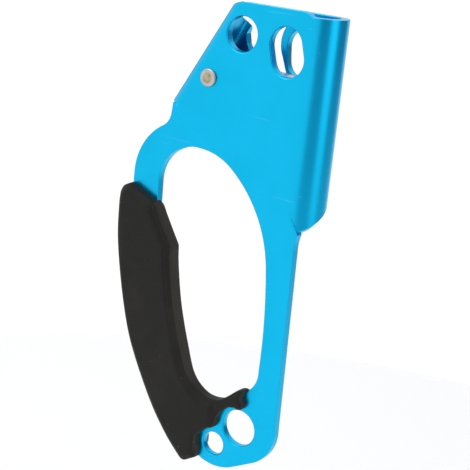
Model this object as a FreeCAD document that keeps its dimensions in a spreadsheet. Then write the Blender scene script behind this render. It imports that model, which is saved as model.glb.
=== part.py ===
import FreeCAD, Part
import math
import os
import Sketcher

# Handled rope ascender, millimetres.  +Z runs up along the rope, +X is the
# side the rope channel is on, +Y goes from the flat back towards the cam.
# Everything is drawn with the flat back at Y = 0; the written parts are moved
# so that the origin is the middle of the large lower eye, halfway through it.

os.makedirs("parts", exist_ok=True)
doc = FreeCAD.newDocument("ascender")
V = FreeCAD.Vector

# ---------------------------------------------------------------- dimensions
SIZES = {
    "plate_thick": 3.5,
    "fold_depth": 20.0,
    "eye_large_radius": 7.8,
    "eye_small_radius": 5.05,
    "upper_eye_radius": 7.1,
    "slot_radius": 7.2,
    "slot_run": 5.6,
    "rim_round": 0.7,
    "foot_chamfer": 2.4,
    "grip_thick": 11.4,
    "handle_thick": 18.6,
    "grip_round": 2.4,
    "handle_round": 3.0,
    "tail_radius": 2.0,
    "shank_radius": 3.0,
    "shaft_play": 0.04,
    "bush_radius": 4.0,
    "washer_radius": 4.55,
    "washer_thick": 0.9,
    "cam_back": 5.0,
    "cam_hub_front": 12.7,
    "cam_nose_front": 15.0,
    "tooth_height": 1.5,
    "tooth_radius": 0.95,
    "catch_pin_radius": 2.0,
    "catch_back": 16.7,
    "catch_thick": 2.2,
    "cam_wire": 0.4,
    "catch_wire": 0.3,
}
sheet = doc.addObject("Spreadsheet::Sheet", "Sizes")
for row, (name, value) in enumerate(SIZES.items(), start=1):
    sheet.set("A%d" % row, name)
    sheet.set("B%d" % row, str(value))
    sheet.setAlias("B%d" % row, name)
doc.recompute()


def size(name):
    """A value as the sheet holds it."""
    return float(sheet.get(name))


T = size("plate_thick")
DEPTH = size("fold_depth")
CHANNEL_X = 12.0
AXLE = (-32.7, 143.6)
CATCH = (AXLE[0] + 15.0, AXLE[1] - 17.0)

# The diagonal fold: its bend line starts at the top left of the flat back and
# runs down and outwards.  DOWN runs along it, OUT points away from the plate.
FOLD_TOP = V(-19.3, 0.0, 176.0)
LEAN = math.radians(30.1)
DOWN = V(-math.sin(LEAN), 0.0, -math.cos(LEAN))
OUT = V(-math.cos(LEAN), 0.0, math.sin(LEAN))
FOLD_RUN = 54.4
FOLD_R = 5.8


# ------------------------------------------------------------------- helpers
def plane(body, role):
    """One of the body's own origin planes."""
    for item in body.Origin.OriginFeatures:
        if item.Role == role:
            return item
    raise ValueError(role)


def sketch(body, name, role="XZ_Plane", at=None, frame=None):
    """A sketch on an origin plane, moved off it by `at` along its normal."""
    made = body.newObject("Sketcher::SketchObject", name)
    made.AttachmentSupport = [(plane(body, role), "")]
    made.MapMode = "FlatFace"
    if frame is not None:
        made.AttachmentOffset = frame
    elif at is not None:
        made.AttachmentOffset = FreeCAD.Placement(V(0, 0, at), FreeCAD.Rotation())
    return made


def outline(sk, start, steps):
    """Close a path: each step is an end point, or a point on an arc and its end."""
    here = V(start[0], start[1], 0)
    first = here
    for step in list(steps) + [start]:
        if len(step) == 2:
            there = V(step[0], step[1], 0)
            if (there - here).Length > 1e-6:
                sk.addGeometry(Part.LineSegment(here, there), False)
        else:
            through = V(step[0], step[1], 0)
            there = V(step[2], step[3], 0)
            sk.addGeometry(Part.Arc(here, through, there), False)
        here = there
    if (here - first).Length > 1e-6:
        raise ValueError("open outline")


def smooth(sk, points):
    """One smooth curve through the points given."""
    curve = Part.BSplineCurve()
    curve.interpolate([V(x, y, 0) for x, y in points])
    sk.addGeometry(curve, False)


def circle(sk, centre, alias):
    """A circle whose radius follows the sheet."""
    index = sk.addGeometry(Part.Circle(V(centre[0], centre[1], 0), V(0, 0, 1), size(alias)), False)
    sk.addConstraint(Sketcher.Constraint("Radius", index, size(alias)))
    sk.setExpression("Constraints[%d]" % (sk.ConstraintCount - 1), "Sizes." + alias)
    return index


def slot(sk, centre, radius, run, lean):
    """A round-ended slot, its long way leaning by `lean` degrees."""
    along = V(-math.sin(math.radians(lean)), math.cos(math.radians(lean)), 0)
    side = V(along.y, -along.x, 0)
    middle = V(centre[0], centre[1], 0)
    top = middle + along * (run / 2)
    low = middle - along * (run / 2)
    sk.addGeometry(Part.Arc(top + side * radius, top + along * radius, top - side * radius), False)
    sk.addGeometry(Part.LineSegment(top - side * radius, low - side * radius), False)
    sk.addGeometry(Part.Arc(low - side * radius, low - along * radius, low + side * radius), False)
    sk.addGeometry(Part.LineSegment(low + side * radius, top + side * radius), False)


def pad(body, name, profile, length, forward=True):
    """Pad towards +Y from an XZ sketch (forward), or along the sketch normal."""
    made = body.newObject("PartDesign::Pad", name)
    made.Profile = profile
    set_length(made, length)
    made.Reversed = forward
    return made


def pocket(body, name, profile, length):
    """Cut into the body, away from the sketch normal."""
    made = body.newObject("PartDesign::Pocket", name)
    made.Profile = profile
    set_length(made, length)
    return made


def set_length(feature, length):
    """A length given as a number, or as an expression on the sheet."""
    if isinstance(length, str):
        feature.setExpression("Length", length)
    else:
        feature.Length = length


def round_edges(body, name, radius, wanted):
    """Fillet the tip's edges that `wanted` picks out."""
    doc.recompute()
    tip = body.Tip
    names = ["Edge%d" % (i + 1) for i, e in enumerate(tip.Shape.Edges) if wanted(e)]
    if not names:
        raise ValueError("no edges for " + name)
    made = body.newObject("PartDesign::Fillet", name)
    made.Base = (tip, names)
    if isinstance(radius, str):
        made.setExpression("Radius", radius)
    else:
        made.Radius = radius
    doc.recompute()
    return made


def new_body(name):
    """A body with its name as its label."""
    made = doc.addObject("PartDesign::Body", name)
    made.Label = name
    return made


def turned(name, profile, middle):
    """A body turned about the Y line through `middle`: points are (radius, y)."""
    body = new_body(name)
    sk = sketch(body, name + "_profile", "XY_Plane")
    outline(sk, profile[0], profile[1:])
    spin = body.newObject("PartDesign::Revolution", name + "_turn")
    spin.Profile = sk
    spin.ReferenceAxis = (sk, ["V_Axis"])
    spin.Angle = 360
    body.Placement = FreeCAD.Placement(V(middle[0], 0, middle[1]), FreeCAD.Rotation())
    return body


# --------------------------------------------------------------------- frame
frame = new_body("frame")

fold_place = FreeCAD.Placement(FOLD_TOP, FreeCAD.Rotation(OUT, V(0, 1, 0), DOWN, "XYZ"))
fold = sketch(frame, "fold_section", "XY_Plane", frame=fold_place)
inner = FOLD_R - T
cos45 = math.sqrt(0.5)
outline(fold, (0, 0), [
    (FOLD_R * cos45, FOLD_R - FOLD_R * cos45, FOLD_R, FOLD_R),
    (FOLD_R, DEPTH - FOLD_R),
    (FOLD_R * cos45, DEPTH - FOLD_R + FOLD_R * cos45, 0, DEPTH),
    (-11.5, DEPTH),
    (-11.5, DEPTH - T),
    (0, DEPTH - T),
    (inner * cos45, DEPTH - FOLD_R + inner * cos45, inner, DEPTH - FOLD_R),
    (inner, FOLD_R),
    (inner * cos45, FOLD_R - inner * cos45, 0, T),
])
pad(frame, "fold_pad", fold, FOLD_RUN, forward=False)

# The blank's level top edge carries on over the fold, so it climbs the wall
# and then runs back down across the front flange.
climb_place = FreeCAD.Placement(FOLD_TOP - OUT * 20, FreeCAD.Rotation(DOWN, V(0, 1, 0), OUT * -1, "XYZ"))
climb = sketch(frame, "fold_climb", "XY_Plane", frame=climb_place)
outline(climb, (-2, -0.5), [
    (0, -0.5),
    (0, 0),
    (2.6, 0.8, 4.8, 2.6),
    (7.4, FOLD_R),
    (11.4, DEPTH - FOLD_R),
    (13.4, DEPTH - 1.8, 16.4, DEPTH),
    (17.0, 21),
    (-2, 21),
])
pocket(frame, "fold_climb_cut", climb, 32)

flange_place = FreeCAD.Placement(FOLD_TOP + V(0, 21, 0), FreeCAD.Rotation(DOWN, OUT, V(0, 1, 0), "XYZ"))
flange = sketch(frame, "flange_edge", "XY_Plane", frame=flange_place)
outline(flange, (16.4, 0), [
    (19.3, -2.6),
    (22.6, -7.6),
    (24.6, -10.0, 28.0, -11.0),
    (46.3, -11.0),
    (52.2, -8.8, 54.5, -3.4),
    (55.8, -4.0),
    (55.8, -15),
    (-2, -15),
    (-2, 0),
])
pocket(frame, "flange_edge_cut", flange, 5.2)

channel = sketch(frame, "channel_section", "XY_Plane", at=84.0)
outer_r = DEPTH / 2
inner_r = outer_r - T
outline(channel, (CHANNEL_X, 0), [
    (CHANNEL_X + outer_r, outer_r, CHANNEL_X, DEPTH),
    (-11.5, DEPTH),
    (-11.5, DEPTH - T),
    (CHANNEL_X, DEPTH - T),
    (CHANNEL_X + inner_r, outer_r, CHANNEL_X, T),
])
pad(frame, "channel_pad", channel, 174.3 - 84.0, forward=False)

foot = sketch(frame, "channel_foot", "YZ_Plane")
outline(foot, (-1, 83), [(21, 83), (21, 100.4), (-1, 85.9)])
foot_cut = pocket(frame, "channel_foot_cut", foot, 60)
foot_cut.Midplane = True

doc.recompute()
foot_rim = []
for number, edge in enumerate(foot_cut.Shape.Edges, start=1):
    box = edge.BoundBox
    curved = box.YMin < 1.0 and box.YMax > 18.0 and box.XMax > CHANNEL_X + outer_r - 0.5
    if curved and box.ZMax < 104.0:
        foot_rim.append("Edge%d" % number)
foot_soft = frame.newObject("PartDesign::Chamfer", "channel_foot_soft")
foot_soft.Base = (foot_cut, foot_rim)
foot_soft.setExpression("Size", "Sizes.foot_chamfer")
doc.recompute()

lip = sketch(frame, "lip_edge", at=-15.2)
outline(lip, (-0.5, 176.0), [
    (-0.5, 174.3),
    (-7.4, 169.6, -10.5, 161.8),
    (-10.2, 158.2, -9.0, 155.0),
    (7.4, 113.6),
    (9.3, 107.0, 13.4, 101.2),
    (13.4, 90.0),
    (-13, 90.0),
    (-13, 176.0),
])
pocket(frame, "lip_edge_cut", lip, 6.0)

plate = sketch(frame, "plate_outline")
fold_low = FOLD_TOP + DOWN * FOLD_RUN
outline(plate, (-19.3, 176.0), [
    (6.0, 176.0),
    (9.6, 175.7, CHANNEL_X, 174.3),
    (CHANNEL_X, 97.0),
    (17.2, 88.6),
    (16.5, 85.6, 16.3, 82.0),
    (17.6, 4.0),
    (16.0, -5.4, 9.4, -12.6),
    (-2.0, -18.7),
    (-10.0, -20.5, -18.3, -18.9),
    (-26.0, -14.6),
    (-57.0, 35.5, -66.3, 88.0),
    (-66.3, 97.0),
    (-62.6, 111.0, -53.2, 120.2),
    (-50.8, 122.6, -49.7, 126.3),
    (-49.3, 130.6),
    (fold_low.x, fold_low.z),
])
outline(plate, (-33.6, 114.1), [
    (-24.9, 112.7, -17.1, 108.6),
    (-2.7, 92.5, 4.4, 72.0),
    (6.5, 49.5, 6.7, 27.0),
    (5.9, 22.2, 3.0, 18.2),
    (-5.0, 11.4, -15.0, 8.6),
    (-25.8, 10.4, -33.0, 20.0),
    (-44.6, 47.5, -52.6, 82.0),
    (-53.0, 95.6),
    (-50.0, 106.3, -42.9, 112.0),
    (-38.6, 113.7, -33.6, 114.1),
])
pad(frame, "plate_pad", plate, "Sizes.plate_thick")

holes = sketch(frame, "eyes")
circle(holes, (0, 0), "eye_large_radius")
circle(holes, (-11.8, -10.9), "eye_small_radius")
circle(holes, (-18.9, 163.3), "upper_eye_radius")
slot(holes, (2.5, 159.4), size("slot_radius"), size("slot_run"), 16.0)
pocket(frame, "eyes_cut", holes, T + 0.5)

lip_slot = sketch(frame, "lip_slot", at=-15.2)
slot(lip_slot, (0.1, 157.4), size("slot_radius"), size("slot_run"), 6.0)
pocket(frame, "lip_slot_cut", lip_slot, 6.0)

play = size("shaft_play")
tail_hole = sketch(frame, "tail_hole")
tail_hole.addGeometry(Part.Circle(V(AXLE[0], AXLE[1], 0), V(0, 0, 1), size("tail_radius") + play), False)
pocket(frame, "tail_hole_cut", tail_hole, T + 0.5)
shank_hole = sketch(frame, "shank_hole", at=-(DEPTH - T - 0.5))
shank_hole.addGeometry(Part.Circle(V(AXLE[0], AXLE[1], 0), V(0, 0, 1), size("shank_radius") + play), False)
pocket(frame, "shank_hole_cut", shank_hole, T + 1.0)


def on_face(edge, level):
    """Does the whole edge lie at this Y?"""
    box = edge.BoundBox
    return abs(box.YMin - level) < 1e-4 and abs(box.YMax - level) < 1e-4


def near(edge, centre, reach):
    """Does the edge keep within `reach` of a point of the plate?"""
    box = edge.BoundBox
    mid_x = (box.XMin + box.XMax) / 2 - centre[0]
    mid_z = (box.ZMin + box.ZMax) / 2 - centre[1]
    return math.hypot(mid_x, mid_z) < reach


RIMS = [((0, 0), 9.0), ((-11.8, -10.9), 6.0), ((-18.9, 163.3), 8.0), ((2.5, 159.4), 9.5)]


def eye_rim(edge):
    """Edges of the holes on the flat back and just inside it."""
    if not (on_face(edge, 0.0) or on_face(edge, T)):
        return False
    return any(near(edge, centre, reach) for centre, reach in RIMS[:2])


def upper_rim(edge):
    """Edges of the two upper holes on the flat back."""
    return on_face(edge, 0.0) and any(near(edge, centre, reach) for centre, reach in RIMS[2:])


round_edges(frame, "eye_rims", "Sizes.rim_round", eye_rim)
round_edges(frame, "upper_rims", "Sizes.rim_round", upper_rim)

# ---------------------------------------------------------------------- grip
grip_core = doc.addObject("PartDesign::Body", "grip_core")
skin = sketch(grip_core, "grip_outline", at=-T / 2)
smooth(skin, [
    (-26.4, -22.2), (-36.8, -13.4), (-48.2, 0.6), (-59.9, 22.4), (-66.9, 42.7),
    (-72.1, 66.3), (-73.2, 84.0), (-72.4, 89.8),
])
outline_top = [
    (-72.4, 89.8), (-70.4, 91.9), (-66.3, 93.6), (-53.4, 87.2), (-51.6, 84.4),
]
for before, after in zip(outline_top, outline_top[1:]):
    skin.addGeometry(Part.LineSegment(V(before[0], before[1], 0), V(after[0], after[1], 0)), False)
skin.addGeometry(Part.Arc(V(-51.6, 84.4, 0), V(-46.2, 76.2, 0), V(-41.6, 70.4, 0)), False)
smooth(skin, [
    (-41.6, 70.4), (-40.2, 62.0), (-36.4, 45.6), (-30.4, 28.4), (-25.0, 16.8), (-17.5, 11.5),
    (-9.5, 11.6), (-4.9, 14.8), (0.4, 19.0), (3.4, 18.9),
])
skin.addGeometry(Part.Arc(V(3.4, 18.9, 0), V(2.1, 16.0, 0), V(3.2, 13.0, 0)), False)
skin.addGeometry(Part.Arc(V(3.2, 13.0, 0), V(2.6, 10.0, 0), V(-0.4, 9.9, 0)), False)
skin.addGeometry(Part.Arc(V(-0.4, 9.9, 0), V(-8.6, 4.9, 0), V(-9.9, 0.2, 0)), False)
skin.addGeometry(Part.Arc(V(-9.9, 0.2, 0), V(-11.2, -2.6, 0), V(-13.6, -3.6, 0)), False)
skin.addGeometry(Part.Arc(V(-13.6, -3.6, 0), V(-19.0, -8.6, 0), V(-17.8, -14.2, 0)), False)
skin.addGeometry(Part.LineSegment(V(-17.8, -14.2, 0), V(-18.4, -18.8, 0)), False)
skin.addGeometry(Part.LineSegment(V(-18.4, -18.8, 0), V(-24.4, -22.5, 0)), False)
skin.addGeometry(Part.LineSegment(V(-24.4, -22.5, 0), V(-26.4, -22.2, 0)), False)
skin_pad = pad(grip_core, "grip_pad", skin, "Sizes.grip_thick")
skin_pad.Midplane = True


def flat_rim(level):
    """A picker for the edges of the flat face `level` off the middle."""
    def pick(edge):
        flat = on_face(edge, T / 2 + level) or on_face(edge, T / 2 - level)
        return flat and not near(edge, (-8.0, -2.0), 24.0)
    return pick


round_edges(grip_core, "grip_soft", "Sizes.grip_round", flat_rim(size("grip_thick") / 2))

palm = sketch(grip_core, "handle_outline", at=-T / 2)
smooth(palm, [(-45.0, 7.6), (-57.0, 25.6), (-64.2, 44.7), (-69.0, 66.3), (-70.4, 86.0)])
palm.addGeometry(Part.Arc(V(-70.4, 86.0, 0), V(-68.8, 89.4, 0), V(-65.0, 89.8, 0)), False)
palm.addGeometry(Part.LineSegment(V(-65.0, 89.8, 0), V(-56.8, 85.2, 0)), False)
palm.addGeometry(Part.LineSegment(V(-56.8, 85.2, 0), V(-47.6, 72.0, 0)), False)
palm.addGeometry(Part.Arc(V(-47.6, 72.0, 0), V(-45.3, 67.9, 0), V(-44.1, 63.4, 0)), False)
smooth(palm, [(-44.1, 63.4), (-43.0, 58.0), (-39.8, 44.6), (-34.0, 27.8), (-29.4, 17.6)])
palm.addGeometry(Part.Arc(V(-29.4, 17.6, 0), V(-35.8, 9.0, 0), V(-45.0, 7.6, 0)), False)
palm_pad = pad(grip_core, "handle_pad", palm, "Sizes.handle_thick")
palm_pad.Midplane = True
round_edges(grip_core, "handle_soft", "Sizes.handle_round", flat_rim(size("handle_thick") / 2))

grip = doc.addObject("Part::Cut", "grip")
grip.Base = grip_core
grip.Tool = frame
grip.Label = "grip"

# ---------------------------------------------------------------- cam pivot
tail = size("tail_radius")
shank = size("shank_radius")
cam_axle = turned("cam_axle", [
    (0, -1.1), (tail, -1.1), (tail, T), (shank, T), (shank, DEPTH),
    (5.6, DEPTH), (5.6, DEPTH + 0.9), (4.0, DEPTH + 2.1, 1.6, DEPTH + 2.6), (0, DEPTH + 2.6),
], AXLE)
rear_ring = turned("rear_ring", [
    (tail + play, 0), (3.7, 0), (3.7, -0.6), (3.45, -1.0, 3.0, -1.1), (tail + play, -1.1),
], AXLE)
washer_r = size("washer_radius")
washer_t = size("washer_thick")
bore = shank + play
thrust_washer_rear = turned("thrust_washer_rear", [
    (bore, T), (washer_r, T), (washer_r, T + washer_t), (bore, T + washer_t),
], AXLE)
thrust_washer_front = turned("thrust_washer_front", [
    (bore, DEPTH - T - washer_t), (washer_r, DEPTH - T - washer_t), (washer_r, DEPTH - T), (bore, DEPTH - T),
], AXLE)
bush_r = size("bush_radius")
cam_bush = turned("cam_bush", [
    (bore, T + washer_t), (bush_r, T + washer_t),
    (bush_r, DEPTH - T - washer_t), (bore, DEPTH - T - washer_t),
], AXLE)

# ----------------------------------------------------------------------- cam
cam_core = doc.addObject("PartDesign::Body", "cam_core")
cam_core.Placement = FreeCAD.Placement(V(AXLE[0], 0, AXLE[1]), FreeCAD.Rotation())
back = size("cam_back")
hub = sketch(cam_core, "cam_outline", at=-back)
outline(hub, (-1.2, 7.2), [
    (30.0, 5.2),
    (43.4, 0.6),
    (45.4, -12.4, 42.6, -24.6),
    (41.6, -26.6, 39.2, -26.8),
    (27.0, -23.6),
    (18.2, -22.2),
    (14.6, -23.2, 10.6, -20.6),
    (-3.2, -5.6),
    (-6.4, 1.0, -1.2, 7.2),
])
pad(cam_core, "cam_hub_pad", hub, size("cam_hub_front") - back)
nose = sketch(cam_core, "cam_nose_outline", at=-back)
outline(nose, (16.0, 6.6), [
    (30.0, 5.2),
    (43.4, 0.6),
    (45.4, -12.4, 42.6, -24.6),
    (41.6, -26.6, 39.2, -26.8),
    (27.0, -23.6),
    (18.2, -22.2),
    (14.6, -23.2, 10.6, -20.6),
    (9.4, -14.6, 13.4, -10.6),
    (16.4, -3.0, 16.0, 6.6),
])
pad(cam_core, "cam_nose_pad", nose, size("cam_nose_front") - back)
cam_holes = sketch(cam_core, "cam_holes", at=-(back - 1))
cam_holes.addGeometry(Part.Circle(V(0, 0, 0), V(0, 0, 1), bush_r + play), False)
cam_holes.addGeometry(Part.Circle(V(15.0, -17.0, 0), V(0, 0, 1), size("catch_pin_radius") + play), False)
slot(cam_holes, (28.0, -9.5), 4.2, 9.0, 70.0)
pocket(cam_core, "cam_holes_cut", cam_holes, 12)

# Rows of small teeth stand on the curved face and lean down the rope.
teeth = []
for row in range(9):
    face_mid = V(14.22, 0, -12.9)
    reach = 31.18
    spread = math.radians(20.0 - 5.0 * row)
    out = V(math.cos(spread), 0, math.sin(spread))
    foot_at = face_mid + out * (reach - 0.5)
    lean = FreeCAD.Rotation(V(0, 1, 0), 32).multVec(out)
    columns = (-3.2, 0.0, 3.2) if row % 2 == 0 else (-1.6, 1.6)
    for column in columns:
        tooth = doc.addObject("Part::Cone", "tooth_%02d" % (len(teeth) + 1))
        tooth.setExpression("Radius1", "Sizes.tooth_radius")
        tooth.Radius2 = 0.15
        tooth.setExpression("Height", "Sizes.tooth_height + 0.5")
        spot = V(AXLE[0], 10.0 + column, AXLE[1]) + foot_at
        tooth.Placement = FreeCAD.Placement(spot, FreeCAD.Rotation(V(0, 0, 1), lean))
        teeth.append(tooth)
cam = doc.addObject("Part::MultiFuse", "cam")
cam.Shapes = [cam_core] + teeth
cam.Label = "cam"

# --------------------------------------------------------------------- catch
pin = size("catch_pin_radius")
catch_y = size("catch_back")
catch_front = catch_y + size("catch_thick")
catch_pin = turned("catch_pin", [
    (0, back), (pin, back), (pin, catch_front + 0.15), (3.6, catch_front + 0.15),
    (3.6, catch_front + 0.7), (2.6, catch_front + 1.3, 1.2, catch_front + 1.5), (0, catch_front + 1.5),
], CATCH)

catch_lever = new_body("catch_lever")
catch_lever.Placement = FreeCAD.Placement(V(CATCH[0], 0, CATCH[1]), FreeCAD.Rotation())
arm = sketch(catch_lever, "lever_outline", at=-catch_y)
outline(arm, (4.6, 0.0), [
    (0.0, 4.6, -4.6, 0.0),
    (-4.4, -6.0),
    (-3.4, -18.0),
    (4.4, -18.0),
    (4.6, -6.0),
])
arm.addGeometry(Part.Circle(V(0, 0, 0), V(0, 0, 1), pin + play), False)
pad(catch_lever, "lever_pad", arm, "Sizes.catch_thick")

tab_core = doc.addObject("PartDesign::Body", "tab_core")
tab_core.Placement = FreeCAD.Placement(V(CATCH[0], 0, CATCH[1]), FreeCAD.Rotation())
tab = sketch(tab_core, "tab_outline", at=-(catch_y - 1.6))
outline(tab, (-5.4, -10.2), [
    (5.6, -10.2),
    (7.0, -11.8),
    (6.4, -20.4),
    (4.8, -22.6, 2.4, -23.4),
    (-3.0, -23.4),
    (-6.0, -22.4, -6.8, -20.0),
    (-6.9, -11.8),
])
pad(tab_core, "tab_pad", tab, size("catch_thick") + 1.6 + 4.0)
round_edges(tab_core, "tab_soft", 1.2, lambda e: on_face(e, catch_front + 4.0))
ribs = sketch(tab_core, "tab_grooves", "YZ_Plane")
for step in range(4):
    low = -20.9 + 2.6 * step
    outline(ribs, (catch_front + 3.2, low), [
        (catch_front + 5.0, low - 0.4),
        (catch_front + 5.0, low + 1.4),
        (catch_front + 3.2, low + 1.0),
    ])
rib_cut = pocket(tab_core, "tab_grooves_cut", ribs, 20)
rib_cut.Midplane = True
catch_tab = doc.addObject("Part::Cut", "catch_tab")
catch_tab.Base = tab_core
catch_tab.Tool = catch_lever
catch_tab.Label = "catch_tab"


# ------------------------------------------------------------------- springs
def coil(name, middle, radius, wire, start_y, turns, pitch, legs, turn_to=0.0):
    """A torsion spring about the Y line through `middle`, with two straight legs.

    `legs` are the lengths of the straight run-offs at the near and far end.
    """
    points = []
    steps = int(turns * 16)
    for step in range(steps + 1):
        angle = math.radians(turn_to) + 2 * math.pi * turns * step / steps
        points.append(V(
            middle[0] + radius * math.cos(angle),
            start_y + pitch * turns * step / steps,
            middle[1] - radius * math.sin(angle),
        ))
    begin_way = V(points[0].x - points[1].x, 0, points[0].z - points[1].z).normalize()
    end_way = V(points[-1].x - points[-2].x, 0, points[-1].z - points[-2].z).normalize()
    before = [points[0] + begin_way * (legs[0] * part) for part in (1.0, 0.6, 0.3)]
    after = [points[-1] + end_way * (legs[1] * part) for part in (0.3, 0.6, 1.0)]
    curve = Part.BSplineCurve()
    curve.interpolate(before + points + after)
    spine = Part.Wire([curve.toShape()])
    start_way = curve.tangent(curve.FirstParameter)[0]
    ring_wire = Part.Wire(Part.makeCircle(wire, before[0], start_way))
    solid = spine.makePipeShell([ring_wire], True, False)
    made = doc.addObject("Part::Feature", name)
    made.Shape = solid
    made.Label = name
    return made


cam_wire = size("cam_wire")
cam_spring = coil("cam_spring", AXLE, 5.3, cam_wire, size("cam_hub_front") + cam_wire + 0.1,
                  2.0, 0.86, (6.5, 4.0), 150.0)
catch_wire = size("catch_wire")
catch_spring = coil("catch_spring", CATCH, 2.9, catch_wire, size("cam_nose_front") + catch_wire + 0.1,
                    1.5, 0.66, (2.5, 3.5), 20.0)

# -------------------------------------------------------------------- finish
doc.recompute()
NODES = [
    frame, grip, cam_axle, rear_ring, thrust_washer_rear, thrust_washer_front, cam_bush,
    cam, cam_spring, catch_lever, catch_tab, catch_pin, catch_spring,
]
for item in doc.Objects:
    if "Invalid" in item.State or "Error" in item.State:
        raise RuntimeError("%s did not build: %s" % (item.Name, item.State))
for node in NODES:
    if node.Shape.isNull() or not node.Shape.isValid():
        raise RuntimeError(node.Label + " has no sound shape")
    print(node.Label, "solids", len(node.Shape.Solids), "volume %.0f" % node.Shape.Volume)
    moved = node.Shape.copy()
    moved.translate(V(0, -T / 2, 0))
    moved.exportStep(os.path.join("parts", node.Label + ".step"))
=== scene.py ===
"""Looks for a handled rope ascender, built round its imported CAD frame.

Lengths are in metres.  +Z runs up along the rope, +X is the side of the rope
channel, and +Y goes from the flat back of the plate towards the cam.
"""

import logging
import math
from dataclasses import dataclass
from enum import Enum
from typing import Any, Optional, Sequence

import bmesh
import bpy
from mathutils import Matrix, Vector


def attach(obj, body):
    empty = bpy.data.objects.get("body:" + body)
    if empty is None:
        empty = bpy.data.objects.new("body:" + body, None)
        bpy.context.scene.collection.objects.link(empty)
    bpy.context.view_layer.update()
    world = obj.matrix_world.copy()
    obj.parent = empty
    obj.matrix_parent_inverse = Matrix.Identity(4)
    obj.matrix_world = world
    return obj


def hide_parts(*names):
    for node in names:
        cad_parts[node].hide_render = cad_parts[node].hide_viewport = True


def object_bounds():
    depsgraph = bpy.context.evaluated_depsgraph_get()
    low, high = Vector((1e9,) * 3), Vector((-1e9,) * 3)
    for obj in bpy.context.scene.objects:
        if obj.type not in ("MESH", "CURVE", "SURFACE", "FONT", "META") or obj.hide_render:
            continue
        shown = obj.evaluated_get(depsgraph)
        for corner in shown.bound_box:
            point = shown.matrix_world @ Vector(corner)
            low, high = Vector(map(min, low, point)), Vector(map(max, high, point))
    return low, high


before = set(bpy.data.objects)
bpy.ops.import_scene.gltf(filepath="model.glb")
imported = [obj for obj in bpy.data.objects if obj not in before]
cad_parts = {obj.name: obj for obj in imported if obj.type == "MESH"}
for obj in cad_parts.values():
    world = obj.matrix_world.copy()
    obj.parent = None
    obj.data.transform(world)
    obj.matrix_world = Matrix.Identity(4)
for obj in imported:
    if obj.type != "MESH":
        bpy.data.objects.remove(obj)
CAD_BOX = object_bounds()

LOG = logging.getLogger("ascender")
MM = 0.001
Point = tuple[float, float]
Triple = tuple[float, float, float]
Colour = tuple[float, float, float, float]


# ------------------------------------------------------------------ shaders
class Sock:
    """A node's output socket that can be used in ordinary arithmetic."""

    def __init__(self, nodes: "Nodes", socket: Optional[bpy.types.NodeSocket]) -> None:
        """Wrap one output socket of a tree of nodes."""
        self.nodes = nodes
        self.socket = socket

    def _math(self, operation: str, first: Any, second: Any) -> "Sock":
        """Add a Math node.

        Args:
            operation: The Math node's operation.
            first: Its first input, a number or socket.
            second: Its second input, a number or socket.

        Returns:
            The node's value.
        """
        return self.nodes.add("ShaderNodeMath", {"operation": operation}, {0: first, 1: second})

    def __add__(self, other: Any) -> "Sock":
        """Sum."""
        return self._math("ADD", self, other)

    def __radd__(self, other: Any) -> "Sock":
        """Sum, number first."""
        return self._math("ADD", other, self)

    def __sub__(self, other: Any) -> "Sock":
        """Difference."""
        return self._math("SUBTRACT", self, other)

    def __rsub__(self, other: Any) -> "Sock":
        """Difference, number first."""
        return self._math("SUBTRACT", other, self)

    def __mul__(self, other: Any) -> "Sock":
        """Product."""
        return self._math("MULTIPLY", self, other)

    def __rmul__(self, other: Any) -> "Sock":
        """Product, number first."""
        return self._math("MULTIPLY", other, self)

    def top(self, other: Any) -> "Sock":
        """The larger of the two."""
        return self._math("MAXIMUM", self, other)

    def ramp(self, low: float, high: float) -> "Sock":
        """A smooth step from 0 at `low` to 1 at `high`.

        Args:
            low: The value that gives 0.
            high: The value that gives 1.

        Returns:
            The stepped value.
        """
        return self.nodes.add(
            "ShaderNodeMapRange",
            {"interpolation_type": "SMOOTHSTEP"},
            {"Value": self, "From Min": low, "From Max": high},
        )


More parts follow.
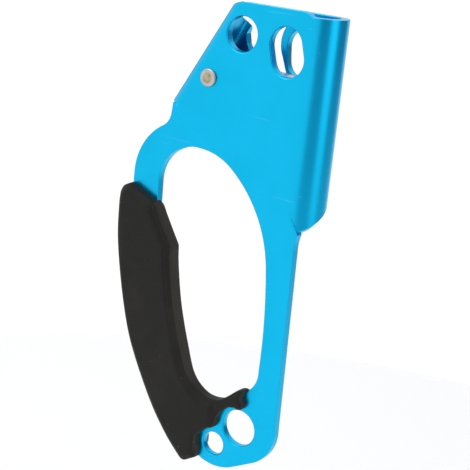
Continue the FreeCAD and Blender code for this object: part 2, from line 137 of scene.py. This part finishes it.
class Nodes:
    """Adds nodes to one tree."""

    def __init__(self, tree: bpy.types.NodeTree) -> None:
        """Start from an empty tree."""
        self.tree = tree
        tree.nodes.clear()

    def add(
        self,
        kind: str,
        settings: Optional[dict[str, Any]] = None,
        inputs: Optional[dict[Any, Any]] = None,
        output: Any = 0,
    ) -> Sock:
        """Add any node.

        Args:
            kind: The node's type name.
            settings: Its settings, which are put in first.
            inputs: Values or links for its sockets, by name or number.
            output: The socket wanted back, by name or number.

        Returns:
            That output socket.
        """
        node = self.tree.nodes.new(kind)
        for key, value in (settings or {}).items():
            setattr(node, key, value)
        for key, value in (inputs or {}).items():
            if isinstance(value, Sock):
                self.tree.links.new(value.socket, node.inputs[key])
            else:
                node.inputs[key].default_value = value
        return Sock(self, node.outputs[output] if len(node.outputs) else None)

    def place(self, stretch: Sequence[float] = (1.0, 1.0, 1.0), turn: float = 0.0) -> Sock:
        """Object coordinates, stretched and turned about Y.

        Args:
            stretch: A scale for each axis.
            turn: Degrees about the Y axis.

        Returns:
            The coordinates.
        """
        where = self.add("ShaderNodeTexCoord", output="Object")
        return self.add(
            "ShaderNodeMapping",
            inputs={
                "Vector": where,
                "Scale": tuple(stretch),
                "Rotation": (0.0, math.radians(turn), 0.0),
            },
        )

    def noise(self, size_mm: float, detail: float = 2.0, where: Optional[Sock] = None) -> Sock:
        """Noise whose blobs are about `size_mm` across.

        Args:
            size_mm: The size of a blob in millimetres.
            detail: Octaves of finer noise on top.
            where: Coordinates, plain object coordinates if left out.

        Returns:
            The noise, near 0.5 on average.
        """
        return self.add(
            "ShaderNodeTexNoise",
            inputs={
                "Vector": where or self.place(),
                "Scale": 1.0 / (size_mm * MM),
                "Detail": detail,
            },
        )

    def blend(self, amount: Any, first: Any, second: Any) -> Sock:
        """Mix two colours.

        Args:
            amount: 0 for the first, 1 for the second.
            first: A colour or socket.
            second: A colour or socket.

        Returns:
            The mixed colour.
        """
        return self.add("ShaderNodeMix", {"data_type": "RGBA"}, {0: amount, 6: first, 7: second}, 2)

    def bump(self, height: Sock, depth_mm: float, under: Optional[Sock] = None) -> Sock:
        """A bump of a real depth.

        Args:
            height: The height, 0 to 1.
            depth_mm: What a height of 1 means, in millimetres.
            under: A normal to build on.

        Returns:
            The bumped normal.
        """
        inputs: dict[str, Any] = {"Height": height, "Distance": depth_mm * MM, "Strength": 1.0}
        if under is not None:
            inputs["Normal"] = under
        return self.add("ShaderNodeBump", inputs=inputs)

    def broken_edge(self, radius_mm: float) -> Sock:
        """A normal that turns over sharp edges as if they were rounded.

        Args:
            radius_mm: The radius of the rounding in millimetres.

        Returns:
            The normal.
        """
        return self.add("ShaderNodeBevel", {"samples": 6}, {"Radius": radius_mm * MM})

    def finish(self, **values: Any) -> None:
        """Close the tree with a principled surface.

        Args:
            values: Values or links for its sockets, by name with _ for a space.
        """
        inputs = {key.replace("_", " "): value for key, value in values.items()}
        surface = self.add("ShaderNodeBsdfPrincipled", inputs=inputs)
        self.add("ShaderNodeOutputMaterial", inputs={"Surface": surface})


def colour(red: float, green: float, blue: float) -> Colour:
    """A linear colour with full alpha."""
    return (red, green, blue, 1.0)


def new_material(name: str) -> tuple[bpy.types.Material, Nodes]:
    """A material and the nodes to fill it with."""
    made = bpy.data.materials.new(name)
    made.use_nodes = True
    return made, Nodes(made.node_tree)


@dataclass(frozen=True)
class Anodised:
    """Satin dyed and sealed aluminium."""

    dye: Colour = colour(0.0085, 0.490, 0.826)
    deep: Colour = colour(0.0070, 0.468, 0.789)
    scratched: Colour = colour(0.16, 0.62, 0.88)
    roughness: float = 0.31
    edge_mm: float = 0.5
    cloud_mm: float = 26.0
    grain_mm: float = 0.16
    drawn_mm: float = 0.35
    relief_mm: float = 0.006
    scratch_mm: float = 0.005

    def build(self) -> bpy.types.Material:
        """Returns the finished material."""
        made, nodes = new_material("blue_anodised")
        cloud = nodes.noise(self.cloud_mm, 3.0)
        grain = nodes.noise(self.grain_mm, 3.0)
        drawn = nodes.noise(self.drawn_mm, 2.0, nodes.place((1.0, 1.0, 0.035), 4.0))
        steep = nodes.noise(0.9, 1.0, nodes.place((1.0, 1.0, 0.05), 31.0)).ramp(0.77, 0.80)
        level = nodes.noise(1.1, 1.0, nodes.place((0.06, 1.0, 1.0), 17.0)).ramp(0.76, 0.79)
        scratches = steep + level
        base = nodes.blend(cloud.ramp(0.35, 0.7), self.deep, self.dye)
        base = nodes.blend(scratches * 0.18, base, self.scratched)
        rough = self.roughness + (cloud - 0.5) * 0.10 + (drawn - 0.5) * 0.10 + scratches * 0.08
        relief = grain * 0.5 + drawn * 0.5
        normal = nodes.bump(relief, self.relief_mm, nodes.broken_edge(self.edge_mm))
        normal = nodes.bump(1 - scratches, self.scratch_mm, normal)
        nodes.finish(Base_Color=base, Metallic=1.0, Roughness=rough, Normal=normal)
        return made


@dataclass(frozen=True)
class Rubber:
    """Moulded matte rubber with a fine mould grain, dust and scuffs, and a painted highlight on the faces
    turned to its fingers' side.
    """

    tint: Colour = colour(0.0125, 0.0122, 0.0108)
    dusty: Colour = colour(0.030, 0.028, 0.025)
    # Painted highlight colour, a pale brownish tone for the faces turned to the fingers' side.
    painted_sheen: Colour = colour(0.058, 0.050, 0.038)
    speck: Colour = colour(0.16, 0.155, 0.145)
    roughness: float = 0.56
    specular: float = 0.16
    grain_mm: float = 0.32
    cell_mm: float = 0.55
    patch_mm: float = 17.0
    wave_mm: float = 6.0
    relief_mm: float = 0.035
    wave_depth_mm: float = 0.10

    def build(self) -> bpy.types.Material:
        """Returns the finished material."""
        made, nodes = new_material("grip_rubber")
        grain = nodes.noise(self.grain_mm, 4.0)
        cells = nodes.add(
            "ShaderNodeTexVoronoi",
            {"feature": "F1"},
            {"Vector": nodes.place(), "Scale": 1.0 / (self.cell_mm * MM)},
            "Distance",
        )
        patch = nodes.noise(self.patch_mm, 4.0)
        specks = nodes.noise(0.9, 1.0).ramp(0.74, 0.80) * nodes.noise(9.0, 1.0).ramp(0.5, 0.65)
        rubbed = nodes.noise(3.2, 3.0, nodes.place((1.0, 1.0, 0.25), -20.0)).ramp(0.60, 0.78)
        facing = nodes.add("ShaderNodeTexCoord", output="Normal")
        # Painted highlight: faces turned towards +X, the fingers' side, are lightened with a pale brownish
        # tone.
        inner = nodes.add("ShaderNodeSeparateXYZ", inputs={0: facing}, output="X").ramp(0.45, 0.95)
        base = nodes.blend(patch.ramp(0.42, 0.75) * 0.35, self.tint, self.dusty)
        base = nodes.blend(inner * (0.35 + patch * 0.5), base, self.painted_sheen)
        base = nodes.blend(specks * 0.7, base, self.speck)
        rough = self.roughness + (patch - 0.5) * 0.16 - rubbed * 0.08
        normal = nodes.bump(cells * 0.6 + grain * 0.6, self.relief_mm)
        normal = nodes.bump(nodes.noise(self.wave_mm, 2.0), self.wave_depth_mm, normal)
        nodes.finish(
            Base_Color=base, Roughness=rough, Normal=normal, Specular_IOR_Level=self.specular
        )
        return made


@dataclass(frozen=True)
class Metal:
    """A bare or plated metal, lightly stained, with a fine grain and perhaps pits."""

    name: str
    tint: Colour
    stain: Colour
    roughness: float
    grain_mm: float = 0.15
    pits_mm: float = 0.0
    pit_depth_mm: float = 0.03
    patch_mm: float = 2.6
    relief_mm: float = 0.008
    edge_mm: float = 0.25

    def build(self) -> bpy.types.Material:
        """Returns the finished material."""
        made, nodes = new_material(self.name)
        patch = nodes.noise(self.patch_mm, 4.0)
        grain = nodes.noise(self.grain_mm, 3.0)
        base = nodes.blend(patch.ramp(0.45, 0.72) * 0.7, self.tint, self.stain)
        rough = self.roughness + (patch - 0.5) * 0.16 + (grain - 0.5) * 0.12
        normal = nodes.bump(grain, self.relief_mm, nodes.broken_edge(self.edge_mm))
        if self.pits_mm > 0:
            normal = nodes.bump(nodes.noise(self.pits_mm, 2.0), self.pit_depth_mm, normal)
        nodes.finish(Base_Color=base, Metallic=1.0, Roughness=rough, Normal=normal)
        return made


@dataclass(frozen=True)
class Plastic:
    """Fine-grained black moulding, rubbed in places."""

    tint: Colour = colour(0.018, 0.018, 0.020)
    rubbed: Colour = colour(0.05, 0.05, 0.052)
    roughness: float = 0.46
    grain_mm: float = 0.22
    patch_mm: float = 2.4
    relief_mm: float = 0.02

    def build(self) -> bpy.types.Material:
        """Returns the finished material."""
        made, nodes = new_material("black_plastic")
        grain = nodes.noise(self.grain_mm, 3.0)
        rubbed = nodes.noise(self.patch_mm, 3.0).ramp(0.5, 0.75)
        base = nodes.blend(rubbed * 0.4, self.tint, self.rubbed)
        rough = self.roughness - rubbed * 0.12
        nodes.finish(Base_Color=base, Roughness=rough, Normal=nodes.bump(grain, self.relief_mm))
        return made


class Finish(Enum):
    """The finishes, named after the record's material slots."""

    BLUE = "blue_anodised"
    RUBBER = "grip_rubber"
    ZINC = "zinc_yellow"
    STEEL = "bright_steel"
    BUSH = "bush_brass"
    CAM = "cam_steel"
    SPRING = "spring_steel"
    PLASTIC = "black_plastic"


RECIPES: dict[Finish, Any] = {
    Finish.BLUE: Anodised(),
    Finish.RUBBER: Rubber(),
    Finish.ZINC: Metal(
        "zinc_yellow", colour(0.46, 0.42, 0.28), colour(0.20, 0.19, 0.14), 0.42,
        grain_mm=0.2, pits_mm=0.7, pit_depth_mm=0.12,
    ),
    Finish.STEEL: Metal("bright_steel", colour(0.55, 0.50, 0.46), colour(0.40, 0.36, 0.33), 0.34),
    Finish.BUSH: Metal("bush_brass", colour(0.72, 0.50, 0.22), colour(0.55, 0.38, 0.17), 0.32),
    Finish.CAM: Metal(
        "cam_steel", colour(0.56, 0.56, 0.55), colour(0.44, 0.44, 0.44), 0.40,
        grain_mm=0.3, pits_mm=1.0, pit_depth_mm=0.05,
    ),
    Finish.SPRING: Metal("spring_steel", colour(0.46, 0.46, 0.47), colour(0.36, 0.35, 0.34), 0.28),
    Finish.PLASTIC: Plastic(),
}


class Shelf:
    """Builds each finish once and hands it out."""

    def __init__(self) -> None:
        """Start with nothing built."""
        self.built: dict[Finish, bpy.types.Material] = {}

    def get(self, finish: Finish) -> bpy.types.Material:
        """The material of a finish."""
        if finish not in self.built:
            self.built[finish] = RECIPES[finish].build()
        return self.built[finish]


# ------------------------------------------------------------------- shapes
def dress(nodes: dict[str, Finish], shelf: Shelf) -> None:
    """Give CAD nodes their finishes.

    Args:
        nodes: The nodes' names and the finish that each gets.
        shelf: Where finishes come from.
    """
    for node, finish in nodes.items():
        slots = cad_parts[node].data.materials
        slots.clear()
        slots.append(shelf.get(finish))
        LOG.info("dressed %s in %s", node, finish.value)


def curve_through(points: Sequence[Point], steps: int = 6) -> list[Point]:
    """A smooth open path through points.

    Args:
        points: The points it passes through.
        steps: Short runs between two points.

    Returns:
        The path's points.
    """
    ends = [points[0], *points, points[-1]]
    path: list[Point] = []
    for index in range(1, len(ends) - 2):
        a, b, c, d = (Vector(ends[index + k]) for k in (-1, 0, 1, 2))
        for step in range(steps):
            t = step / steps
            bend = (2 * a - 5 * b + 4 * c - d) * t**2 + (3 * b - a - 3 * c + d) * t**3
            spot = 0.5 * (2 * b + (c - a) * t + bend)
            path.append((spot.x, spot.y))
    path.append(tuple(points[-1]))
    return path


def arc(start: Point, through: Point, end: Point, steps: int = 8) -> list[Point]:
    """Points along the circle through three points.

    Args:
        start: Where the arc starts.
        through: A point on the way.
        end: Where it ends.
        steps: Short runs along it.

    Returns:
        The arc's points, the start left out.
    """
    ax, ay, bx, by, cx, cy = *start, *through, *end
    a2, b2, c2 = (x * x + y * y for x, y in (start, through, end))
    twice = 2 * (ax * (by - cy) + bx * (cy - ay) + cx * (ay - by))
    mid_x = (a2 * (by - cy) + b2 * (cy - ay) + c2 * (ay - by)) / twice
    mid_y = (a2 * (cx - bx) + b2 * (ax - cx) + c2 * (bx - ax)) / twice
    radius = math.hypot(ax - mid_x, ay - mid_y)
    first = math.atan2(ay - mid_y, ax - mid_x)
    middle = (math.atan2(by - mid_y, bx - mid_x) - first) % (2 * math.pi)
    sweep = (math.atan2(cy - mid_y, cx - mid_x) - first) % (2 * math.pi)
    if middle > sweep:
        sweep -= 2 * math.pi
    turns = [first + sweep * step / steps for step in range(1, steps + 1)]
    return [(mid_x + radius * math.cos(turn), mid_y + radius * math.sin(turn)) for turn in turns]


def slab(
    name: str, outline: Sequence[Point], back_mm: float, front_mm: float, round_mm: float
) -> bpy.types.Mesh:
    """A flat slab with rounded edges, lying in the plate's plane.

    Args:
        name: The mesh's name.
        outline: Its closed outline in x and z, millimetres.
        back_mm: The Y of its back.
        front_mm: The Y of its front.
        round_mm: The radius of its edges.

    Returns:
        The slab as a mesh.
    """
    data = bpy.data.curves.new(name, "CURVE")
    data.dimensions = "2D"
    data.fill_mode = "BOTH"
    data.extrude = ((front_mm - back_mm) / 2 - round_mm) * MM
    data.bevel_depth = round_mm * MM
    data.offset = -round_mm * MM
    data.bevel_resolution = 5
    spline = data.splines.new("POLY")
    spline.points.add(len(outline) - 1)
    for spot, (x, z) in zip(spline.points, outline):
        spot.co = (x * MM, z * MM, 0.0, 1.0)
    spline.use_cyclic_u = True
    holder = bpy.data.objects.new(name, data)
    bpy.context.scene.collection.objects.link(holder)
    bpy.context.view_layer.update()
    mesh = bpy.data.meshes.new_from_object(holder)
    bpy.data.objects.remove(holder)
    middle = Matrix.Translation((0.0, (back_mm + front_mm) / 2 * MM, 0.0))
    mesh.transform(middle @ Matrix.Rotation(math.radians(90), 4, "X"))
    return mesh


def moulded(name: str, meshes: Sequence[bpy.types.Mesh], grid_mm: float, passes: int) -> bpy.types.Object:
    """Melt several meshes into one smooth moulding.

    Args:
        name: The piece's name.
        meshes: The overlapping meshes.
        grid_mm: The size of the grid they are melted on.
        passes: How often the result is smoothed.

    Returns:
        The new piece.
    """
    whole = bmesh.new()
    for mesh in meshes:
        whole.from_mesh(mesh)
    joined = bpy.data.meshes.new(name)
    whole.to_mesh(joined)
    whole.free()
    rough = bpy.data.objects.new(name + "_rough", joined)
    bpy.context.scene.collection.objects.link(rough)
    melt = rough.modifiers.new("melt", "REMESH")
    melt.mode = "VOXEL"
    melt.voxel_size = grid_mm * MM
    even = rough.modifiers.new("even", "SMOOTH")
    even.factor = 0.5
    even.iterations = passes
    graph = bpy.context.evaluated_depsgraph_get()
    final = bpy.data.meshes.new_from_object(rough.evaluated_get(graph))
    bpy.data.objects.remove(rough)
    piece = bpy.data.objects.new(name, final)
    bpy.context.scene.collection.objects.link(piece)
    for face in final.polygons:
        face.use_smooth = True
    return piece


# -------------------------------------------------------------- subassemblies
@dataclass
class Plate:
    """The folded plate with its rope channel and front flange."""

    finish: Finish = Finish.BLUE

    def dress(self, shelf: Shelf) -> None:
        """Give the plate its anodising."""
        dress({"frame": self.finish}, shelf)


@dataclass
class Grip:
    """The rubber moulding round the left limb and the bow below the fingers."""

    rim_mm: Point = (-5.9, 1.6)
    rim_round_mm: float = 1.5
    face_mm: Point = (-7.2, 0.6)
    face_inset_mm: Point = (1.0, 2.0)
    face_round_mm: float = 2.0
    front_mm: Point = (-1.7, 9.3)
    front_inset_mm: Point = (1.0, 6.0)
    front_round_mm: float = 3.2
    toe_share: float = 0.84
    toe_mm: Point = (-2.0, 30.0)
    grid_mm: float = 0.5
    smoothing: int = 10

    def outline(self) -> list[Point]:
        """The whole moulding's outline, from its lower tip up the outer edge and back round the fingers."""
        outer = curve_through([
            (-26.2, -22.2), (-35.9, -13.0), (-46.7, 1.2), (-58.1, 22.9), (-64.8, 43.2),
            (-69.7, 66.3), (-70.7, 82.0), (-70.4, 88.8),
        ])
        top = [(-69.0, 91.4), (-65.6, 93.2), (-52.6, 87.6), (-49.8, 84.4)]
        shoulder = arc((-49.8, 84.4), (-44.8, 76.4), (-40.9, 70.4))
        inner = curve_through([
            (-40.9, 70.4), (-40.0, 61.8), (-36.6, 45.2), (-30.9, 27.8), (-25.8, 16.0), (-18.1, 10.3),
            (-10.2, 10.3), (-5.4, 13.6), (-0.6, 17.7), (2.5, 17.8),
        ])
        waves = [
            arc((2.5, 17.8), (1.2, 15.2), (2.3, 12.4)),
            arc((2.3, 12.4), (1.8, 9.6), (-1.2, 9.4)),
            arc((-1.2, 9.4), (-9.0, 4.6), (-10.3, 0.0)),
            arc((-10.3, 0.0), (-11.6, -2.8), (-14.0, -3.8)),
            arc((-14.0, -3.8), (-19.2, -8.8), (-18.0, -14.4)),
        ]
        edge = [point for wave in waves for point in wave]
        return [*outer, *top, *shoulder, *inner[1:], *edge, (-18.4, -18.8), (-24.4, -22.5)]

    def palm(self, outer_mm: float, inner_mm: float) -> list[Point]:
        """The outline of a raised face.

        Args:
            outer_mm: How far it keeps from the outer edge.
            inner_mm: How far it keeps from the fingers' edge.

        Returns:
            The outline.
        """
        o, i = outer_mm, inner_mm
        outer = curve_through([
            (-26.2 + o / 3, -22.2 + o), (-35.9 + o / 2, -13.0 + o), (-46.7 + o, 1.2 + o / 2),
            (-58.1 + o, 22.9 + o / 3), (-64.8 + o, 43.2), (-69.7 + o, 66.3), (-70.7 + o, 82.0),
            (-70.4 + o, 88.8 - o / 2),
        ])
        top = [(-69.0 + o, 91.4 - o), (-65.6, 93.2 - o), (-52.4 - i / 2, 87.0 - i / 2)]
        inner = curve_through([
            (-40.9 - i, 70.4 - i / 3), (-40.0 - i, 61.8), (-36.6 - i, 45.2), (-30.9 - i, 27.8 - i / 4),
            (-25.8 - i, 16.0 - i / 2), (-18.1 - i / 2, 10.3 - i), (-12.2, 10.0 - i),
        ])
        edge = [(-11.0, 3.0), (-12.8, -2.2), (-19.2, -8.4), (-18.9, -14.6), (-20.0, -18.4), (-24.6, -21.2)]
        return [*outer, *top, *inner, *edge]

    def build(self, shelf: Shelf) -> None:
        """Make the moulding, thinner towards its toe, in place of the CAD's plain one.

        Args:
            shelf: Where finishes come from.
        """
        layers = [
            slab("grip_rim", self.outline(), *self.rim_mm, self.rim_round_mm),
            slab("grip_face", self.palm(*self.face_inset_mm), *self.face_mm, self.face_round_mm),
            slab("grip_front", self.palm(*self.front_inset_mm), *self.front_mm, self.front_round_mm),
        ]
        piece = moulded("grip_moulding", layers, self.grid_mm, self.smoothing)
        low, high = (value * MM for value in self.toe_mm)
        for corner in piece.data.vertices:
            step = min(max((corner.co.z - low) / (high - low), 0.0), 1.0)
            share = step * step * (3 - 2 * step)
            corner.co.y *= self.toe_share + (1 - self.toe_share) * share
        piece.data.materials.append(shelf.get(Finish.RUBBER))
        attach(piece, "frame_body")
        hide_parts("grip")
        LOG.info("built %s", piece.name)


@dataclass
class Pivot:
    """The cam's axle with the ring, washers, bush and spring on it."""

    rivet: Finish = Finish.ZINC
    rings: Finish = Finish.STEEL
    bush: Finish = Finish.BUSH
    spring: Finish = Finish.SPRING

    def dress(self, shelf: Shelf) -> None:
        """Give each piece on the axle its finish."""
        turned = {
            "cam_axle": self.rivet,
            "rear_ring": self.rings,
            "thrust_washer_rear": self.rings,
            "thrust_washer_front": self.rings,
            "cam_bush": self.bush,
            "cam_spring": self.spring,
        }
        dress(turned, shelf)


@dataclass
class Cam:
    """The toothed cam."""

    finish: Finish = Finish.CAM

    def dress(self, shelf: Shelf) -> None:
        """Give the cam its plated casting look."""
        dress({"cam": self.finish}, shelf)


@dataclass
class Catch:
    """The safety catch with its thumb tab, pin and spring."""

    lever: Finish = Finish.STEEL
    tab: Finish = Finish.PLASTIC
    rivet: Finish = Finish.ZINC
    spring: Finish = Finish.SPRING

    def dress(self, shelf: Shelf) -> None:
        """Give each piece of the catch its finish."""
        parts = {
            "catch_lever": self.lever,
            "catch_tab": self.tab,
            "catch_pin": self.rivet,
            "catch_spring": self.spring,
        }
        dress(parts, shelf)


# ------------------------------------------------------------------- studio
@dataclass
class Studio:
    """A pale floor, a soft room of light and the camera.

    A panel is its bearing, its half width and the width of its fading edge, in degrees.
    """

    azimuth: float = 32.5
    elevation: float = 15.0
    roll: float = 6.2
    distance: float = 0.5353
    lens: float = 100.0
    sensor_mm: float = 36.0
    nearest: float = 0.01
    aim: Triple = (-0.012, -0.00175, 0.082)
    floor_gap: float = 0.12
    floor_radius: float = 0.5
    floor_sides: int = 96
    floor_white: float = 0.95
    floor_roughness: float = 0.9
    fill_level: float = 0.19
    floor_level: float = 0.58
    ceiling_level: float = 0.84
    back_panel: Triple = (198.0, 30.0, 20.0)
    left_panel: Triple = (-48.0, 52.0, 22.0)
    left_level: float = 1.035
    right_panel: Triple = (82.0, 11.0, 12.0)
    right_level: float = 1.6
    right_drop: float = 0.72
    backdrop_level: float = 1.05
    dim_tone: Colour = colour(0.86, 0.95, 1.30)
    bright_tone: Colour = colour(1.0, 1.0, 1.0)
    lamp_size: float = 0.7
    lamp_power: float = 2.4
    lamp_at: Triple = (-0.45, -0.65, 0.85)

    def floor(self) -> None:
        """A round pale floor below the piece."""
        low = CAD_BOX[0].z - self.floor_gap
        bpy.ops.mesh.primitive_circle_add(
            vertices=self.floor_sides, radius=self.floor_radius, fill_type="NGON", location=(0.0, 0.0, low)
        )
        ground = bpy.context.object
        ground.name = "floor"
        made, nodes = new_material("floor_white")
        white = colour(self.floor_white, self.floor_white, self.floor_white)
        nodes.finish(Base_Color=white, Roughness=self.floor_roughness)
        ground.data.materials.append(made)

    def room(self) -> None:
        """A white room: broad light panels round the piece, dimmer between them."""
        world = bpy.data.worlds.new("room")
        bpy.context.scene.world = world
        world.use_nodes = True
        nodes = Nodes(world.node_tree)
        way = nodes.add("ShaderNodeTexCoord", output="Generated")
        level = nodes.add(
            "ShaderNodeVectorMath", {"operation": "MULTIPLY"}, {0: way, 1: (1.0, 1.0, 0.0)}
        )
        level = nodes.add("ShaderNodeVectorMath", {"operation": "NORMALIZE"}, {0: level})

        def panel(turn: float, half: float, fade: float) -> Sock:
            """1 within `half` degrees of the bearing `turn`, fading to 0 over `fade` more."""
            bearing = math.radians(turn)
            towards = (math.sin(bearing), -math.cos(bearing), 0.0)
            facing = nodes.add(
                "ShaderNodeVectorMath", {"operation": "DOT_PRODUCT"}, {0: level, 1: towards}, "Value"
            )
            return facing.ramp(math.cos(math.radians(half + fade)), math.cos(math.radians(half)))

        up = nodes.add("ShaderNodeSeparateXYZ", inputs={0: way}, output="Z")
        down = up * -1.0
        low = down.ramp(0.10, 0.24) * self.floor_level
        fill = self.fill_level + low + up.ramp(0.25, 0.9) * self.ceiling_level
        left = panel(*self.left_panel) * self.left_level
        fading = self.right_level - down.ramp(0.11, 0.19) * self.right_drop
        glow = fill.top(left).top(panel(*self.right_panel) * fading).top(panel(*self.back_panel))
        seen = nodes.add("ShaderNodeLightPath", output="Is Camera Ray")
        strength = glow * (1 - seen) + seen * self.backdrop_level
        tone = nodes.blend(glow.ramp(0.2, 0.9), self.dim_tone, self.bright_tone)
        tone = nodes.blend(seen, tone, self.bright_tone)
        light = nodes.add("ShaderNodeBackground", inputs={"Color": tone, "Strength": strength})
        nodes.add("ShaderNodeOutputWorld", inputs={"Surface": light})

    def key(self) -> None:
        """One large soft lamp above and to the left."""
        lamp = bpy.data.lights.new("key", "AREA")
        lamp.shape = "RECTANGLE"
        lamp.size = self.lamp_size
        lamp.size_y = self.lamp_size
        lamp.energy = self.lamp_power
        holder = bpy.data.objects.new("key", lamp)
        bpy.context.scene.collection.objects.link(holder)
        holder.location = self.lamp_at
        towards = Vector(self.aim) - holder.location
        holder.rotation_euler = towards.to_track_quat("-Z", "Y").to_euler()

    def camera(self) -> None:
        """The camera, square to the bearing and tipped by the roll."""
        a, e, r = (math.radians(v) for v in (self.azimuth, self.elevation, self.roll))
        back = Vector((math.sin(a) * math.cos(e), -math.cos(a) * math.cos(e), math.sin(e)))
        right = Vector((math.cos(a), math.sin(a), 0.0))
        above = back.cross(right)
        tipped_right = right * math.cos(r) + above * math.sin(r)
        tipped_up = above * math.cos(r) - right * math.sin(r)
        data = bpy.data.cameras.new("camera")
        data.lens = self.lens
        data.sensor_width = self.sensor_mm
        data.clip_start = self.nearest
        holder = bpy.data.objects.new("camera", data)
        bpy.context.scene.collection.objects.link(holder)
        turn = Matrix((tipped_right, tipped_up, back)).transposed().to_4x4()
        holder.matrix_world = Matrix.Translation(Vector(self.aim) + back * self.distance) @ turn
        bpy.context.scene.camera = holder

    def build(self) -> None:
        """Set everything up."""
        self.floor()
        self.room()
        self.key()
        self.camera()
        view = bpy.context.scene.view_settings
        view.view_transform = "Standard"
        view.look = "None"


def main() -> None:
    """Build every sub-assembly in order."""
    logging.basicConfig(level=logging.INFO, format="%(name)s: %(message)s")
    shelf = Shelf()
    Plate().dress(shelf)
    Grip().build(shelf)
    Pivot().dress(shelf)
    Cam().dress(shelf)
    Catch().dress(shelf)
    Studio().build()


if __name__ == "__main__":
    main()
